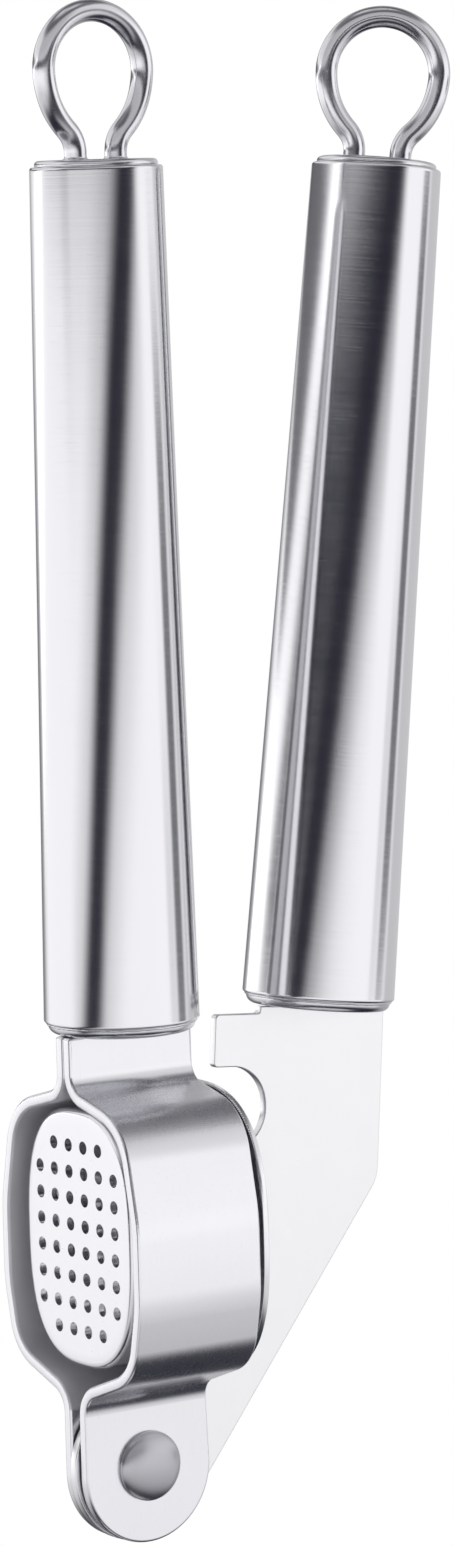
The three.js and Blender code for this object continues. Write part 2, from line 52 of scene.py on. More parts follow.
STRIP_WIDTH = 18.5
STRIP_THICKNESS = 1.5
STRIP_EDGE = 0.3                      # radius that tumbling leaves on a cut edge
STRAP_SLIT = 0.1
EAR_GAP = 1.9
EAR_DROP = 0.5
NECK_FRONT, NECK_BACK = -9.4, 8.9
EAR_TAPER_TOP = 9.0                   # the ear narrows to the chamber's back edge up to here
NECK_FROM, NECK_TO = 47.2, 50.0       # heights between which the front edge steps out to the neck
SHOULDER = 54.75                      # the neck stops under the handle's cap, the tang goes on inside
TANG_TOP = 66.8
TANG_HALF = 6.5
TUBE_X = -0.45
BORE_RADIUS = 2.55
CHAMBER_Z = 28.0                      # height of the chamber's middle
SUPPORT = 0.06                        # narrow flat land beside each rounded edge

hinges = {joint["name"]: joint for joint in frame["joints"]}
hinge_spot = Vector(hinges["lever_hinge"]["pos_m"])
MILLIMETRE = Matrix.Scale(0.001, 4)
PRESS = Matrix.Translation(hinge_spot) @ MILLIMETRE     # measured from the hinge axis, as below


class Wire:
    """One output of a node. Arithmetic on it adds the Math nodes."""

    def __init__(self, graph, socket):
        self.graph = graph
        self.socket = socket

    def out(self, name):
        return Wire(self.graph, self.socket.node.outputs[name])

    def maths(self, operation, *values):
        return self.graph.node("ShaderNodeMath", {"operation": operation}, dict(enumerate(values)))

    def __add__(self, other):
        return self.maths("ADD", self, other)

    def __sub__(self, other):
        return self.maths("SUBTRACT", self, other)

    def __rsub__(self, other):
        return self.maths("SUBTRACT", other, self)

    def __mul__(self, other):
        return self.maths("MULTIPLY", self, other)

    def __truediv__(self, other):
        return self.maths("DIVIDE", self, other)

    def __abs__(self):
        return self.maths("ABSOLUTE", self)

    def __gt__(self, other):
        return self.maths("GREATER_THAN", self, other)

    __radd__ = __add__
    __rmul__ = __mul__


class Graph:
    """A node tree. One call adds one node: its settings first, then the values or links of its sockets."""

    def __init__(self, tree):
        self.tree = tree
        tree.nodes.clear()

    def node(self, kind, settings=None, sockets=None, output=0):
        node = self.tree.nodes.new(kind)
        for key, value in (settings or {}).items():
            setattr(node, key, value)
        for key, value in (sockets or {}).items():
            if isinstance(value, Wire):
                self.tree.links.new(value.socket, node.inputs[key])
            else:
                node.inputs[key].default_value = value
        return Wire(self, node.outputs[output] if node.outputs else None)

    def step(self, value, low, high):
        """0 below low, 1 above high and smooth between; low may be the larger."""
        settings = {"interpolation_type": "SMOOTHSTEP"}
        if low < high:
            return self.node("ShaderNodeMapRange", settings, {0: value, 1: low, 2: high, 3: 0.0, 4: 1.0})
        return self.node("ShaderNodeMapRange", settings, {0: value, 1: high, 2: low, 3: 1.0, 4: 0.0})

    def noise(self, spot, stretch, detail=2.0):
        """Noise from 0 to 1 with one coordinate scale for each axis."""
        scaled = self.node("ShaderNodeVectorMath", {"operation": "MULTIPLY"}, {0: spot, 1: stretch})
        return self.node("ShaderNodeTexNoise", {}, {"Vector": scaled, "Scale": 1.0, "Detail": detail})


def steel(name, place, tint, rough, brush, depth, swing=0.06, marks=None, dull=None):
    """A brushed or polished stainless finish. brush stretches the grain, depth is its height and swing how
    much the roughness varies. marks adds tool marks; dull says where the polish was left off, from 0 to 1."""
    material = bpy.data.materials.new(name)
    material.use_nodes = True
    graph = Graph(material.node_tree)
    where, turn, _ = place.decompose()
    spot = graph.node("ShaderNodeTexCoord", output="Object")
    spot = graph.node("ShaderNodeMapping", {"vector_type": "TEXTURE"}, {
        "Vector": spot, "Location": where, "Rotation": turn.to_euler(), "Scale": (0.001, 0.001, 0.001)})
    grain = graph.noise(spot, brush, 4.0)
    cloud = graph.noise(spot, (0.16, 0.16, 0.16), 3.0)
    scratch = graph.step(graph.noise(spot, [4.0 * axis for axis in brush], 1.0), 0.69, 0.78)
    height = grain + scratch * 0.35
    roughness = rough + (grain - 0.5) * swing + (cloud - 0.5) * (swing * 0.8) + scratch * swing
    if marks:
        mark = marks(graph, spot)
        height = height + mark * 2.0
        roughness = roughness + mark * 0.05
    metallic = 1.0
    if dull:
        unpolished = dull(graph, spot)
        roughness = roughness + unpolished * 0.3
        metallic = 1.0 - unpolished * 0.3
    shade = (cloud - 0.5) * 0.10 + (grain - 0.5) * 0.07 + 0.5
    darker = tuple(0.90 * channel for channel in tint) + (1.0,)
    colour = graph.node("ShaderNodeMix", {"data_type": "RGBA"}, {
        0: shade, 6: darker, 7: tuple(tint) + (1.0,)}, output=2)
    bump = graph.node("ShaderNodeBump", {}, {"Height": height, "Distance": depth * 0.001, "Strength": 1.0})
    shader = graph.node("ShaderNodeBsdfPrincipled", {}, {
        "Base Color": colour, "Metallic": metallic, "Roughness": roughness, "Normal": bump})
    graph.node("ShaderNodeOutputMaterial", {}, {"Surface": shader})
    return material


def rounded_line(corners, step=2.5):
    """Points and left-hand normals along a line of corners (u, v, radius), each rounded by an arc."""
    samples = []
    for i in range(len(corners)):
        corner = Vector(corners[i][:2])
        radius = corners[i][2]
        before = corner - Vector(corners[i - 1][:2]) if i > 0 else Vector(corners[1][:2]) - corner
        after = Vector(corners[i + 1][:2]) - corner if i + 1 < len(corners) else before.copy()
        before.normalize()
        after.normalize()
        start_normal = Vector((-before.y, before.x))
        turn = math.atan2(before.cross(after), before.dot(after))
        if radius == 0 or abs(turn) < 1e-6:
            samples.append((corner, start_normal))
            continue
        side = math.copysign(1.0, turn)
        start = corner - before * (radius * math.tan(abs(turn) / 2))
        centre = start + start_normal * (side * radius)
        steps = max(2, math.ceil(math.degrees(abs(turn)) / step))
        for k in range(steps + 1):
            normal = start_normal.copy()
            normal.rotate(Matrix.Rotation(turn * k / steps, 2))
            samples.append((centre - normal * (side * radius), normal))
    return samples


def rounded_ring(corners, step=6.0):
    """The same for a closed outline; points only."""
    return [point for point, _ in rounded_line([corners[-1], *corners, corners[0]], step)[1:-1]]


def arc(centre, radius, start, end, step=3.0):
    """Points of an arc, in degrees, as corners that aren't rounded."""
    steps = max(2, math.ceil(abs(end - start) / step))
    turns = [math.radians(start + (end - start) * k / steps) for k in range(steps + 1)]
    return [(centre[0] + radius * math.cos(t), centre[1] + radius * math.sin(t), 0) for t in turns]


def hole(centre, radius):
    """A round hole's outline, with the metal on its left."""
    return [Vector(point[:2]) for point in arc(centre, radius, 0, -360, 5.0)[:-1]]


def sheet(outlines, thickness, edge, stations=(), spread=lambda u, v, depth: (u, depth, v)):
    """A closed sheet body with rounded edges. An outline is a ring of (u, v) with the metal on its left.
    It is cut across at each station, so that spread, which gives the place of (u, v, depth), can bend it."""
    profile = [(edge + SUPPORT, 0.0)]
    for degrees in range(0, 91, 30):
        angle = math.radians(degrees)
        profile.append((edge * (1 - math.sin(angle)), edge * (1 - math.cos(angle))))
    profile += [(inset, thickness - depth) for inset, depth in reversed(profile)]
    flat = bmesh.new()
    walls = []
    for outline in outlines:
        tips = []
        for i in range(len(outline)):
            before = (outline[i] - outline[i - 1]).normalized()
            after = (outline[(i + 1) % len(outline)] - outline[i]).normalized()
            first, second = Vector((before.y, -before.x)), Vector((after.y, -after.x))
            tips.append((outline[i], (first + second) / (1 + first.dot(second))))
        ring = []
        for (point, way), (after_point, after_way) in zip(tips, tips[1:] + tips[:1]):
            ring.append((point, way))
            low = point.y - profile[0][0] * way.y
            high = after_point.y - profile[0][0] * after_way.y
            shares = [(s - low) / (high - low) for s in stations if min(low, high) < s < max(low, high)]
            for share in sorted(shares):
                if 1e-4 < share < 1 - 1e-4:
                    ring.append((point.lerp(after_point, share), way.lerp(after_way, share)))
        corners = [flat.verts.new((*(point - way * profile[0][0]), 0)) for point, way in ring]
        for first, second in zip(corners, corners[1:] + corners[:1]):
            flat.edges.new((first, second))
        walls.append(ring)
    bmesh.ops.triangle_fill(flat, use_beauty=True, edges=flat.edges[:])
    for station in stations:
        every = flat.verts[:] + flat.edges[:] + flat.faces[:]
        bmesh.ops.bisect_plane(flat, geom=every, dist=1e-4, plane_co=(0, station, 0), plane_no=(0, 1, 0))
    body = bmesh.new()
    for depth in (0.0, thickness):
        copy = {v: body.verts.new(spread(v.co.x, v.co.y, depth)) for v in flat.verts}
        for face in flat.faces:
            body.faces.new([copy[v] for v in face.verts])
    flat.free()
    for ring in walls:
        levels = []
        for inset, depth in profile:
            spots = [point - way * inset for point, way in ring]
            levels.append([body.verts.new(spread(spot.x, spot.y, depth)) for spot in spots])
        for upper, lower in zip(levels, levels[1:]):
            for i in range(len(ring)):
                body.faces.new((upper[i - 1], upper[i], lower[i], lower[i - 1]))
    bmesh.ops.remove_doubles(body, verts=body.verts, dist=2e-4)
    bmesh.ops.dissolve_degenerate(body, dist=1e-5, edges=body.edges)
    bmesh.ops.recalc_face_normals(body, faces=body.faces)
    return body


def solid(name, body, place, material, sharp=35.0):
    """The finished object of a bmesh drawn in millimetres: smooth, with its place in its mesh."""
    mesh = bpy.data.meshes.new(name)
    body.to_mesh(mesh)
    body.free()
    mesh.transform(place)
    mesh.materials.append(material)
    mesh.shade_smooth()
    mesh.set_sharp_from_angle(angle=math.radians(sharp))
    piece = bpy.data.objects.new(name, mesh)
    bpy.context.scene.collection.objects.link(piece)
    return piece


neck_outer = STRAP_SLIT / 2 + STRIP_THICKNESS
ear_outer = EAR_GAP / 2 + STRIP_THICKNESS
strap_line = rounded_line([
    (neck_outer, TANG_TOP, 0), (neck_outer, 48.27, 2.5), (12.87, 45.32, 8), (15.5, 32.5, 18),
    (15.5, 22.5, 18), (13.58, 13.37, 7), (ear_outer, 9.36, 3), (ear_outer, -11.0, 0)])
half = STRIP_WIDTH / 2
strap_outline = rounded_ring(
    arc((0, -EAR_DROP), half, 180, 360)
    + [(NECK_BACK, EAR_TAPER_TOP, 6), (NECK_BACK, SHOULDER, 0.3), (TUBE_X + TANG_HALF, SHOULDER, 0.3),
       (TUBE_X + TANG_HALF, TANG_TOP, 0.5), (TUBE_X - TANG_HALF, TANG_TOP, 0.5),
       (TUBE_X - TANG_HALF, SHOULDER, 0.3), (NECK_FRONT, SHOULDER, 0.3),
       (NECK_FRONT, NECK_TO, 3), (-half, NECK_FROM, 3)])


def bend_strap(side):
    """Bends the flat strip: depth 0 is the outer face of the strap on that side."""
    def spread(u, v, depth):
        for (upper, upper_way), (lower, lower_way) in zip(strap_line, strap_line[1:]):
            if v >= lower.y:
                break
        share = min(1.0, max(0.0, (upper.y - v) / max(1e-9, upper.y - lower.y)))
        spot = upper.lerp(lower, share) - upper_way.lerp(lower_way, share).normalized() * depth
        return u, side * spot.x, spot.y
    return spread


def bend_marks(graph, spot):
    """Drag marks of the bending die across the strip, at the two sharp bends."""
    height = graph.node("ShaderNodeSeparateXYZ", {}, {0: spot}, output=2)
    top = graph.step(height, 41.5, 44.5) * graph.step(height, 49.6, 48.0)
    foot = graph.step(height, 8.0, 10.0) * graph.step(height, 15.5, 12.5)
    return (top * 1.5 + foot * 2.0) * graph.noise(spot, (0.09, 0.8, 1.9), 3.0)


def inner_face(graph, spot):
    """The straps' inner faces, which look at the middle of the chamber."""
    middle = (0.0, 0.0, CHAMBER_Z)
    outward = graph.node("ShaderNodeVectorMath", {"operation": "SUBTRACT"}, {0: spot, 1: middle})
    outward = graph.node("ShaderNodeVectorMath", {"operation": "MULTIPLY"}, {0: outward, 1: (0.0, 1.0, 1.0)})
    faces = graph.node("ShaderNodeTexCoord", output="Normal")
    facing = graph.node("ShaderNodeVectorMath", {"operation": "DOT_PRODUCT"}, {
        0: outward, 1: faces}, output="Value")
    return graph.step(facing, -2.0, -5.0)


strap_steel = steel("strap_steel", PRESS, (0.93, 0.93, 0.955), 0.24, (2.6, 2.6, 0.10), 0.004, 0.07,
                    marks=bend_marks, dull=inner_face)
stations = sorted({round(point.y, 5) for point, _ in strap_line[1:-1]})
for side, node in ((-1, "near_strap"), (1, "far_strap")):
    body = sheet([strap_outline, hole((0, 0), BORE_RADIUS)], STRIP_THICKNESS, STRIP_EDGE,
                 stations, bend_strap(side))
    strap = solid("strap_" + node[:-6], body, PRESS, strap_steel)
    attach(strap, "chamber_half")
    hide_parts(node)


# ---- Sieve cup ----
# A cup drawn from 0.8 mm stainless sheet: perforated floor in front, flange behind the straps' back edges.
# It is tumbled, so it shines, and it lifts out backwards for washing.

SIEVE_FACE = -7.9
SIEVE_Z = 29.4
CUP_SHEET = 0.8
FLANGE_X = 9.65                       # it stands off the straps' back edges
FLOOR_HALF = (11.8, 16.2)             # half width and half height of the floor, then of mouth and flange
MOUTH_HALF, MOUTH_Z = (13.5, 16.6), 29.1
FLANGE_HALF = (15.2, 18.4)            # its lower rim hides behind the straps
SQUARENESS = 2.7                      # exponent of the rounded outlines; 2 would be an ellipse
HOLE_ROWS, HOLE_COLUMNS = 8, 6
HOLE_PITCH = 3.31
HOLE_RADIUS = 0.83
PUNCH_STROKE = 4.0
END_MARGIN = 1.8                      # ring of the end faces left outside their flat middle
RIM_TEETH = 0.34                      # spacing of the fine shear marks on the flange's upper rim
RIM_INSET = 0.07                      # how far the marks' line lies inside the flange's edge
RIM_DEPTH = 0.12                      # and behind its face
TOOTH = 0.09
RIM_SEGMENTS = 480
RIM_ARCS = (34, 96), (144, 206)       # the segments with shear marks, at both upper corners


def soften(stations, steps=6):
    """Rounds the corners of a line of stations (x, half width, half height, middle, radius)."""
    rings = []
    for i, station in enumerate(stations):
        corner, radius = Vector(station[:4]), station[4]
        if radius == 0:
            rings.append(corner)
            continue
        ends = []
        for other in (Vector(stations[i - 1][:4]), Vector(stations[i + 1][:4])):
            reach = math.hypot(other[0] - corner[0], other[1] - corner[1])
            ends.append(corner.lerp(other, min(0.49, radius / reach)))
        for k in range(steps + 1):
            share = k / steps
            rings.append(ends[0].lerp(corner, share).lerp(corner.lerp(ends[1], share), share))
    return rings


def squared_ring(half_width, half_height, middle, segments):
    """(y, z) round a squared oval."""
    ring = []
    for k in range(segments):
        angle = 2 * math.pi * (k + 0.5) / segments
        reach = (abs(math.cos(angle) / half_width) ** SQUARENESS
                 + abs(math.sin(angle) / half_height) ** SQUARENESS) ** (-1 / SQUARENESS)
        ring.append((reach * math.cos(angle), middle + reach * math.sin(angle)))
    return ring


def squared_body(stations, segments=192):
    """A solid with squared oval sections, closed by a flat face at each end."""
    body = bmesh.new()
    rings = []
    for x, half_width, half_height, middle in stations:
        ring = squared_ring(half_width, half_height, middle, segments)
        rings.append([body.verts.new((x, y, z)) for y, z in ring])
    for lower, upper in zip(rings, rings[1:]):
        for i in range(segments):
            body.faces.new((lower[i - 1], lower[i], upper[i], upper[i - 1]))
    body.faces.new(rings[0])
    body.faces.new(rings[-1])
    bmesh.ops.recalc_face_normals(body, faces=body.faces)
    return body


def grown(name, source, inputs, grow):
    """A plain mesh, from Geometry Nodes on the object source; inputs are (name, socket type, value)."""
    tree = bpy.data.node_groups.new(name, "GeometryNodeTree")
    face = tree.interface
    face.new_socket("Geometry", in_out="INPUT", socket_type="NodeSocketGeometry")
    sockets = [face.new_socket(label, in_out="INPUT", socket_type=kind) for label, kind, _ in inputs]
    face.new_socket("Geometry", in_out="OUTPUT", socket_type="NodeSocketGeometry")
    graph = Graph(tree)
    entry = graph.node("NodeGroupInput")
    geometry = grow(graph, entry)
    geometry = graph.node("GeometryNodeRealizeInstances", {}, {"Geometry": geometry})
    geometry = graph.node("GeometryNodeSetMaterial", {}, {
        "Geometry": geometry, "Material": entry.out("Material")})
    graph.node("NodeGroupOutput", {}, {"Geometry": geometry})
    modifier = source.modifiers.new(name, "NODES")
    modifier.node_group = tree
    for socket, (_, _, value) in zip(sockets, inputs):
        modifier[socket.identifier] = value
    bpy.context.view_layer.update()
    shape = source.evaluated_get(bpy.context.evaluated_depsgraph_get())
    mesh = bpy.data.meshes.new_from_object(shape)
    source.modifiers.remove(modifier)
    bpy.data.objects.remove(source)
    return mesh


def piece_of(name, mesh, sharp=35.0):
    """An object for a finished mesh."""
    mesh.shade_smooth()
    mesh.set_sharp_from_angle(angle=math.radians(sharp))
    piece = bpy.data.objects.new(name, mesh)
    bpy.context.scene.collection.objects.link(piece)
    return piece


def polyline(name, points, place, closed=False):
    """A wire-only mesh through the points, for a tree that sweeps or repeats something along it."""
    mesh = bpy.data.meshes.new(name)
    edges = [(i, i + 1) for i in range(len(points) - 1)] + ([(len(points) - 1, 0)] if closed else [])
    mesh.from_pydata([place @ Vector(point) for point in points], edges, [])
    line = bpy.data.objects.new(name, mesh)
    bpy.context.scene.collection.objects.link(line)
    return line


def perforate(graph, entry):
    """Punches a grid of round holes, without its four corners, through the cup's floor."""
    pitch, rows, columns = entry.out("Pitch"), entry.out("Rows"), entry.out("Columns")
    grid = graph.node("GeometryNodeMeshGrid", {}, {
        "Size X": (columns - 1) * pitch, "Vertices X": columns,
        "Size Y": (rows - 1) * pitch, "Vertices Y": rows})
    place = graph.node("ShaderNodeSeparateXYZ", {}, {0: graph.node("GeometryNodeInputPosition")})
    outer_column = abs(place.out("X")) > (columns - 2) * pitch * 0.5
    outer_row = abs(place.out("Y")) > (rows - 2) * pitch * 0.5
    grid = graph.node("GeometryNodeDeleteGeometry", {"domain": "POINT"}, {
        "Geometry": grid, "Selection": outer_column * outer_row})
    punch = graph.node("GeometryNodeMeshCylinder", {}, {
        "Vertices": 28, "Radius": entry.out("Radius"), "Depth": entry.out("Stroke")})
    punches = graph.node("GeometryNodeInstanceOnPoints", {}, {"Points": grid, "Instance": punch})
    punches = graph.node("GeometryNodeRealizeInstances", {}, {"Geometry": punches})
    punches = graph.node("GeometryNodeTransform", {}, {
        "Geometry": punches, "Translation": entry.out("Middle"),
        "Rotation": (math.pi / 2, 0.0, math.pi / 2)})
    return graph.node("GeometryNodeMeshBoolean", {"operation": "DIFFERENCE", "solver": "EXACT"}, {
        "Mesh 1": entry.out("Geometry"), "Mesh 2": punches})


def shear_marks(graph, entry):
    """Small ridges across the flange's rim, one after another along its upper corner."""
    line = graph.node("GeometryNodeMeshToCurve", {}, {"Mesh": entry.out("Geometry")})
    line = graph.node("GeometryNodeResampleCurve", {"mode": "LENGTH"}, {
        "Curve": line, "Length": entry.out("Spacing")})
    along = graph.node("GeometryNodeInputTangent")
    turn = graph.node("FunctionNodeAlignRotationToVector", {"axis": "Y"}, {"Vector": along})
    wobble = graph.node("FunctionNodeRandomValue", {"data_type": "FLOAT"}, {
        "Min": 0.6, "Max": 1.3, "Seed": entry.out("Seed")}, output=1)
    tooth = graph.node("GeometryNodeMeshIcoSphere", {}, {"Radius": entry.out("Tooth"), "Subdivisions": 2})
    return graph.node("GeometryNodeInstanceOnPoints", {}, {
        "Points": line, "Instance": tooth, "Rotation": turn,
        "Scale": graph.node("ShaderNodeCombineXYZ", {}, {0: 2.4, 1: wobble * 0.8, 2: wobble})})


cup_steel = steel("cup_steel", PRESS, (0.94, 0.94, 0.96), 0.2, (0.5, 0.5, 0.35), 0.006, 0.08)
cup_stations = soften([
    (SIEVE_FACE, FLOOR_HALF[0] - END_MARGIN, FLOOR_HALF[1] - END_MARGIN, SIEVE_Z, 0),
    (SIEVE_FACE, *FLOOR_HALF, SIEVE_Z, 0.8),
    (FLANGE_X, *MOUTH_HALF, MOUTH_Z, 0.7),
    (FLANGE_X, *FLANGE_HALF, MOUTH_Z, 0.2),
    (FLANGE_X + CUP_SHEET, *FLANGE_HALF, MOUTH_Z, 0.2),
    (FLANGE_X + CUP_SHEET, MOUTH_HALF[0] - CUP_SHEET, MOUTH_HALF[1] - CUP_SHEET, MOUTH_Z, 1.2),
    (SIEVE_FACE + CUP_SHEET, FLOOR_HALF[0] - CUP_SHEET, FLOOR_HALF[1] - CUP_SHEET, SIEVE_Z, 0.5),
    (SIEVE_FACE + CUP_SHEET, FLOOR_HALF[0] - END_MARGIN - 0.2,
     FLOOR_HALF[1] - END_MARGIN - 0.2, SIEVE_Z, 0)])
blank = solid("cup_blank", squared_body(cup_stations), PRESS, cup_steel)
punched = grown("perforate", blank, [
    ("Rows", "NodeSocketInt", HOLE_ROWS), ("Columns", "NodeSocketInt", HOLE_COLUMNS),
    ("Pitch", "NodeSocketFloat", HOLE_PITCH * 0.001), ("Radius", "NodeSocketFloat", HOLE_RADIUS * 0.001),
    ("Stroke", "NodeSocketFloat", PUNCH_STROKE * 0.001),
    ("Middle", "NodeSocketVector", PRESS @ Vector((SIEVE_FACE, 0, SIEVE_Z))),
    ("Material", "NodeSocketMaterial", cup_steel)], perforate)
rim = squared_ring(FLANGE_HALF[0] - RIM_INSET, FLANGE_HALF[1] - RIM_INSET, MOUTH_Z, RIM_SEGMENTS)
cup_mesh = bmesh.new()
cup_mesh.from_mesh(punched)
for first, last in RIM_ARCS:
    rim_line = polyline("rim_line", [(FLANGE_X + RIM_DEPTH, y, z) for y, z in rim[first:last]], PRESS)
    teeth = grown("shear_marks", rim_line, [
        ("Spacing", "NodeSocketFloat", RIM_TEETH * 0.001), ("Tooth", "NodeSocketFloat", TOOTH * 0.001),
        ("Seed", "NodeSocketInt", 7), ("Material", "NodeSocketMaterial", cup_steel)], shear_marks)
    cup_mesh.from_mesh(teeth)
cup_mesh.to_mesh(punched)
cup_mesh.free()
cup = piece_of("cup", punched, 25.0)
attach(cup, "chamber_half")
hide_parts("sieve_cup")


# ---- Hinge rivet ----
# A turned stainless rivet through both ears and the lever plate, its heads peened to low domes and polished.
# It holds the straps and carries the lever.

SHANK_RADIUS = 2.5
HEAD_RADIUS = 4.4
HEAD_RIM = 0.35
HEAD_CROWN = 1.25
FIT_GAP = 0.05
ON_Y = Matrix.Rotation(math.radians(-90), 4, "X")       # a lathe axis along +Y


def turned(profile, segments=128, closed=False):
    """A lathe body round Z from (radius, z) points: a closed ring of them, or a line from axis to axis."""
    body = bmesh.new()
    rings = []
    for radius, z in profile:
        if radius < 1e-6:
            rings.append([body.verts.new((0, 0, z))] * segments)
            continue
        turns = [2 * math.pi * k / segments for k in range(segments)]
        rings.append([body.verts.new((radius * math.cos(t), radius * math.sin(t), z)) for t in turns])
    pairs = list(zip(rings, rings[1:])) + ([(rings[-1], rings[0])] if closed else [])
    for lower, upper in pairs:
        for i in range(segments):
            corners = []
            for corner in (lower[i - 1], lower[i], upper[i], upper[i - 1]):
                if corner not in corners:
                    corners.append(corner)
            if len(corners) > 2:
                body.faces.new(corners)
    bmesh.ops.recalc_face_normals(body, faces=body.faces)
    return body


rivet_steel = steel("rivet_steel", PRESS, (0.56, 0.56, 0.59), 0.3, (0.9, 0.9, 0.9), 0.006, 0.08)
head_base = ear_outer + FIT_GAP
head = [(HEAD_RADIUS - 0.1, head_base), (HEAD_RADIUS, head_base + 0.1)]
for degrees in range(0, 91, 5):
    angle = math.radians(degrees)
    head.append((HEAD_RADIUS * math.cos(angle), head_base + HEAD_RIM + HEAD_CROWN * math.sin(angle)))
head[-1] = (0.0, head[-1][1])
upper = [(SHANK_RADIUS, head_base), *head]
rivet_line = [(radius, -y) for radius, y in reversed(upper)] + upper
rivet = solid("rivet", turned(rivet_line, 96), PRESS @ ON_Y, rivet_steel)
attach(rivet, "chamber_half")
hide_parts("hinge_rivet")


# ---- Hinge washers ----
# Two thin stainless washers on the rivet, one at each side of the lever plate; they take up the ears' gap.
# Blanked and tumbled.

WASHER_RADIUS = 4.2
WASHER_FROM, WASHER_TO = 0.65, 0.9

washer_steel = steel("washer_steel", PRESS, (0.78, 0.78, 0.8), 0.3, (0.8, 0.8, 0.8), 0.006)
for side, node in ((-1, "near_hinge_washer"), (1, "far_hinge_washer")):
    ring = rounded_ring([
        (BORE_RADIUS, WASHER_FROM, 0.05), (WASHER_RADIUS, WASHER_FROM, 0.08),
        (WASHER_RADIUS, WASHER_TO, 0.08), (BORE_RADIUS, WASHER_TO, 0.05)], 30.0)
    body = turned([(r, side * y) for r, y in ring], 64, closed=True)
    washer = solid("washer_" + node.split("_")[0], body, PRESS @ ON_Y, washer_steel)
    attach(washer, "chamber_half")
    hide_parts(node)


# ---- Handle tubes ----
# Two alike tubes of 1 mm stainless, drawn to a slight taper and ground on a belt while turning, which leaves
# fine lines round them. Their rims are rounded.

TUBE_LENGTH = 105.6
TUBE_RADII = (9.7, 8.92, 8.2)         # bottom, middle, top
TUBE_WALL = 1.0
TUBE_RIM = 0.35
TUBE_Z = 56.1                         # lower rim of the chamber handle's tube
LEVER_TUBE = (25.3, 58.0)             # lower rim's centre in x and z, lever closed
LEVER_LEAN = 2.5

rest_open = -hinges["lever_hinge"]["range_deg"][0]
LEVER = Matrix.Translation(hinge_spot) @ Matrix.Rotation(math.radians(rest_open), 4, "Y") @ MILLIMETRE
handles = {
    "chamber": ("chamber_half", PRESS @ Matrix.Translation((TUBE_X, 0, TUBE_Z)), 0.0),
    "lever": ("lever_half", LEVER @ Matrix.Translation((LEVER_TUBE[0], 0, LEVER_TUBE[1]))
              @ Matrix.Rotation(math.radians(LEVER_LEAN), 4, "Y"), -30.0),
}


def tube_radius(z):
    bottom, middle, top = TUBE_RADII
    t = z / TUBE_LENGTH
    return bottom * (1 - t) * (1 - 2 * t) + middle * 4 * t * (1 - t) + top * t * (2 * t - 1)


def belt_rings(graph, spot):
    """Coarser belt lines near both rims, where the belt turned back."""
    height = graph.node("ShaderNodeSeparateXYZ", {}, {0: spot}, output=2)
    ends = graph.step(height, 9.0, 0.0) + graph.step(height, TUBE_LENGTH - 7.0, TUBE_LENGTH)
    return ends * graph.noise(spot, (0.03, 0.03, 2.2), 2.0) * 0.6


for prefix, (body_name, place, _) in handles.items():
    tube_steel = steel(prefix + "_tube_steel", place, (0.88, 0.88, 0.9), 0.13, (0.05, 0.05, 4.5),
                       0.0011, 0.05, marks=belt_rings)
    levels = [TUBE_RIM * 1.5 + (TUBE_LENGTH - TUBE_RIM * 3) * k / 40 for k in range(41)]
    outer = [(tube_radius(z), z, 0) for z in levels]
    inner = [(tube_radius(z) - TUBE_WALL, z, 0) for z in reversed(levels)]
    top_radius, bottom_radius = tube_radius(TUBE_LENGTH), tube_radius(0)
    ring = rounded_ring(
        outer + [(top_radius, TUBE_LENGTH, TUBE_RIM), (top_radius - TUBE_WALL, TUBE_LENGTH, 0.15)]
        + inner + [(bottom_radius - TUBE_WALL, 0, 0.15), (bottom_radius, 0, TUBE_RIM)], 15.0)
    tube = solid(prefix + "_tube", turned(ring, 160, closed=True), place, tube_steel)
    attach(tube, body_name)
    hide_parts(prefix + "_handle_tube")


# ---- Handle caps ----
# Pressed stainless caps close both ends of each tube. The lower one stands out of it, takes the tang through
# its middle and is welded to the rim all round; the upper one is nearly flush and holds the wire loop's feet.

CAP_STEP = 1.3
CAP_PLUG = 2.0
CAP_LIP = 0.8
CAP_ROUND = 1.1
PLUG_ROOM = 0.2                       # between a cap's plug and the tube
LOWER_INSET, UPPER_INSET = 0.5, 0.6   # the caps are smaller than the tube's ends by this


def weld_bead(graph, entry):
    """A thin uneven bead of weld along a line."""
    line = graph.node("GeometryNodeMeshToCurve", {}, {"Mesh": entry.out("Geometry")})
    line = graph.node("GeometryNodeResampleCurve", {"mode": "LENGTH"}, {
        "Curve": line, "Length": entry.out("Ripple")})
    wave = graph.node("ShaderNodeTexNoise", {}, {
        "Vector": graph.node("GeometryNodeInputPosition"), "Scale": 1600.0, "Detail": 2.0}, output=1)
    centred = graph.node("ShaderNodeVectorMath", {"operation": "SUBTRACT"}, {0: wave, 1: (0.5, 0.5, 0.5)})
    shift = graph.node("ShaderNodeVectorMath", {"operation": "SCALE"}, {
        0: centred, "Scale": entry.out("Unevenness")})
    line = graph.node("GeometryNodeSetPosition", {}, {"Geometry": line, "Offset": shift})
    section = graph.node("GeometryNodeCurvePrimitiveCircle", {"mode": "RADIUS"}, {
        "Resolution": 12, "Radius": entry.out("Radius")})
    return graph.node("GeometryNodeCurveToMesh", {}, {"Curve": line, "Profile Curve": section})


def ring_points(radius, z, count=240):
    turns = [2 * math.pi * k / count for k in range(count)]
    return [(radius * math.cos(t), radius * math.sin(t), z) for t in turns]


